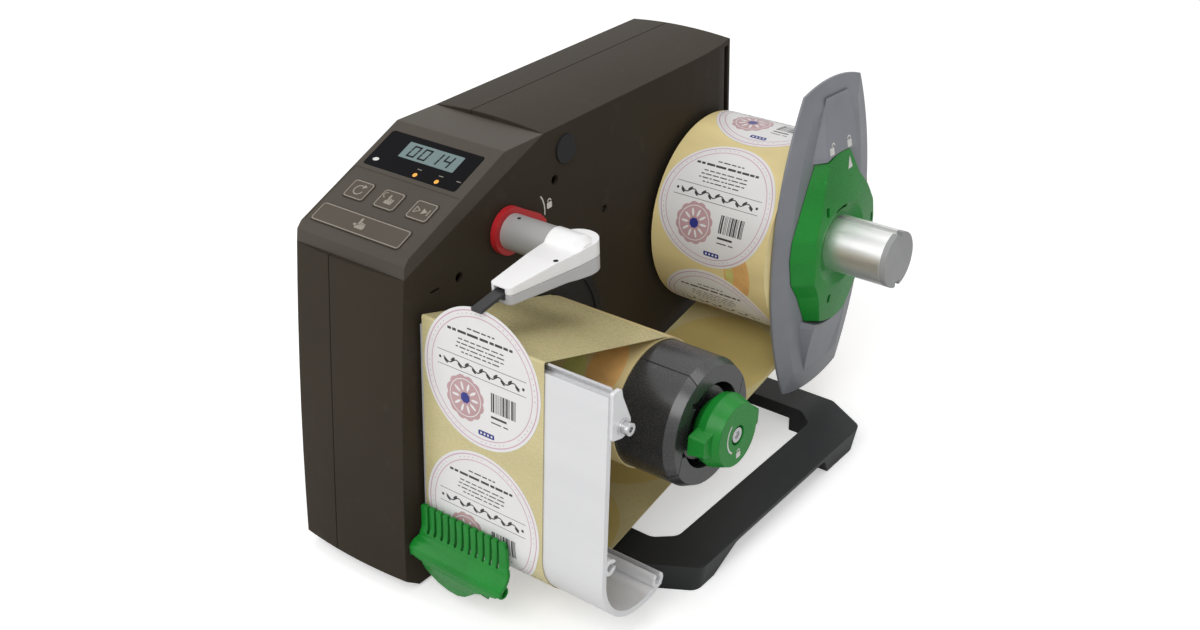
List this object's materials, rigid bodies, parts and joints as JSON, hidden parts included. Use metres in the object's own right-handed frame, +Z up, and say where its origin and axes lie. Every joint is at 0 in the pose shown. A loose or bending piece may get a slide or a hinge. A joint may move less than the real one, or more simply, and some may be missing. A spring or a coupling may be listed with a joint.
{
  "type": "label dispenser",
  "caption": "Tabletop label dispenser: slim housing with operator panel, supply reel with margin stop, peeling plate, label sensor arm and motorised liner rewinder on a loop foot.",
  "frame": {"origin": "centre of the machine's outline on the table it stands on", "axes": "+X out along the reel and rewinder shafts, +Y from the operator to the back, +Z up"},
  "size_m": [0.232, 0.3672, 0.2449],
  "materials": {
    "housing_shell": "fine-textured dark warm grey",
    "panel_shell": "satin warm grey",
    "window_glass": "smoked clear",
    "lcd": "reflective grey-green",
    "lamp": "translucent",
    "board": "solder-masked",
    "black_part": "moulded",
    "key_face": "satin film",
    "green_part": "satin moulded",
    "red_part": "satin moulded",
    "slate_part": "satin moulded",
    "shaft_metal": "turned, clear anodised",
    "plate_metal": "clear anodised",
    "steel": "bright",
    "arm_shell": "satin silver-white",
    "finger": "moulded",
    "liner": "glazed paper",
    "label": "coated paper",
    "cardboard": "matt board",
    "foot_coat": "black powder coat",
    "rubber": "matt",
    "chassis": "zinc plated",
    "motor_can": "plated",
    "belt": "toothed",
    "felt": "felt"
  },
  "bodies": {
    "root": {"main_housing": "housing_shell", "side_cover": "housing_shell", "side_plug": "black_part", "cover_screws": "steel", "housing_feet": "rubber", "control_panel": "panel_shell", "display_window": "window_glass", "lcd_module": "lcd", "display_board": "board", "key_switches": "black_part", "led_lamps": "lamp", "dispensing_plate": "plate_metal", "peel_edge": "steel", "end_bracket": "plate_metal", "bracket_washer": "steel", "bracket_screw": "steel", "liner_web": "liner", "web_labels": "label", "brake_rod": "steel", "foot_frame": "foot_coat", "foot_screws": "steel", "chassis_plate": "chassis", "shaft_bearings": "steel", "drive_motor": "motor_can", "drive_belt": "belt", "brake_felt": "felt", "power_supply": "board", "control_board": "board", "mains_inlet": "black_part", "power_switch": "black_part", "signal_socket": "steel"},
    "supply_reel": {"supply_shaft": "shaft_metal", "shaft_end_cap": "slate_part", "reel_disc": "black_part", "roll_core": "cardboard", "label_roll": "liner", "brake_disc": "steel"},
    "margin_stop": {"margin_stop_flange": "slate_part"},
    "flange_lock": {"flange_lock_ring": "green_part"},
    "rewinder": {"rewind_disc": "slate_part", "rewind_drum": "black_part", "wound_liner": "liner", "drum_pulley": "motor_can"},
    "upper_jaw": {"rewind_jaw_upper": "black_part"},
    "lower_jaw": {"rewind_jaw_lower": "black_part"},
    "knob": {"rewind_knob": "green_part", "knob_screw": "steel"},
    "motor_drive": {"motor_pulley": "steel"},
    "sensor_arm": {"sensor_tube": "arm_shell", "arm_upper_shell": "arm_shell", "arm_lower_shell": "arm_shell"},
    "sensor_lock": {"sensor_lock_ring": "red_part"},
    "finger": {"sensor_finger": "finger"},
    "brake_flap": {"label_brake": "green_part"},
    "clear_key": {"key_clear": "key_face"},
    "step_key": {"key_step": "key_face"},
    "feed_key": {"key_feed": "key_face"},
    "start_key": {"key_start": "key_face"},
    "rocker": {"power_rocker": "black_part"}
  },
  "joints": [
    {"name": "supply_spin", "type": "hinge", "parent": "root", "child": "supply_reel", "pos_m": [-0.032, 0.11935, 0.1382], "axis": [1, 0, 0], "continuous": true},
    {"name": "margin_slide", "type": "slide", "parent": "supply_reel", "child": "margin_stop", "axis": [1, 0, 0], "range_m": [0, 0.028]},
    {"name": "flange_lock_turn", "type": "hinge", "parent": "margin_stop", "child": "flange_lock", "pos_m": [0.068, 0.11935, 0.1382], "axis": [1, 0, 0], "range_deg": [0, 18]},
    {"name": "rewind_spin", "type": "hinge", "parent": "root", "child": "rewinder", "pos_m": [-0.032, -0.05915, 0.1037], "axis": [1, 0, 0], "continuous": true},
    {"name": "motor_pulley_spin", "type": "hinge", "parent": "root", "child": "motor_drive", "pos_m": [-0.032, -0.02915, 0.05], "axis": [1, 0, 0], "continuous": true},
    {"name": "knob_turn", "type": "hinge", "parent": "rewinder", "child": "knob", "pos_m": [0.098, -0.05915, 0.1037], "axis": [1, 0, 0], "range_deg": [0, 90]},
    {"name": "upper_jaw_slide", "type": "slide", "parent": "rewinder", "child": "upper_jaw", "axis": [0, -0.342, -0.9397], "range_m": [0, 0.003]},
    {"name": "lower_jaw_slide", "type": "slide", "parent": "rewinder", "child": "lower_jaw", "axis": [0, 0.342, 0.9397], "range_m": [0, 0.003]},
    {"name": "sensor_swing", "type": "hinge", "parent": "root", "child": "sensor_arm", "pos_m": [-0.032, -0.07715, 0.196], "axis": [1, 0, 0], "range_deg": [-70, 0]},
    {"name": "sensor_lock_turn", "type": "hinge", "parent": "root", "child": "sensor_lock", "pos_m": [-0.032, -0.07715, 0.196], "axis": [1, 0, 0], "range_deg": [-35, 0]},
    {"name": "finger_lift", "type": "hinge", "parent": "sensor_arm", "child": "finger", "pos_m": [0.016, -0.12915, 0.196], "axis": [1, 0, 0], "range_deg": [-10, 0], "stiffness_Nm_per_rad": 0.02, "springref_deg": 11.46},
    {"name": "brake_flap_tilt", "type": "hinge", "parent": "root", "child": "brake_flap", "pos_m": [-0.002, -0.17355, 0.031], "axis": [1, 0, 0], "range_deg": [0, 35], "stiffness_Nm_per_rad": 0.05, "springref_deg": -28.65},
    {"name": "rocker_tilt", "type": "hinge", "parent": "root", "child": "rocker", "pos_m": [-0.072, 0.15435, 0.0677], "axis": [1, 0, 0], "range_deg": [0, 10]},
    {"name": "clear_key_press", "type": "slide", "parent": "root", "child": "clear_key", "axis": [0, 0.3858, -0.9226], "range_m": [0, 0.0008], "stiffness_N_per_m": 1500},
    {"name": "step_key_press", "type": "slide", "parent": "root", "child": "step_key", "axis": [0, 0.3858, -0.9226], "range_m": [0, 0.0008], "stiffness_N_per_m": 1500},
    {"name": "feed_key_press", "type": "slide", "parent": "root", "child": "feed_key", "axis": [0, 0.3858, -0.9226], "range_m": [0, 0.0008], "stiffness_N_per_m": 1500},
    {"name": "start_key_press", "type": "slide", "parent": "root", "child": "start_key", "axis": [0, 0.3858, -0.9226], "range_m": [0, 0.0008], "stiffness_N_per_m": 1500}
  ],
  "couplings": [
    {"joint": "motor_pulley_spin", "follows": "rewind_spin", "ratio": 2.5},
    {"joint": "knob_turn", "follows": "upper_jaw_slide", "rad_per_m": 523.6},
    {"joint": "lower_jaw_slide", "follows": "upper_jaw_slide", "ratio": 1}
  ]
}
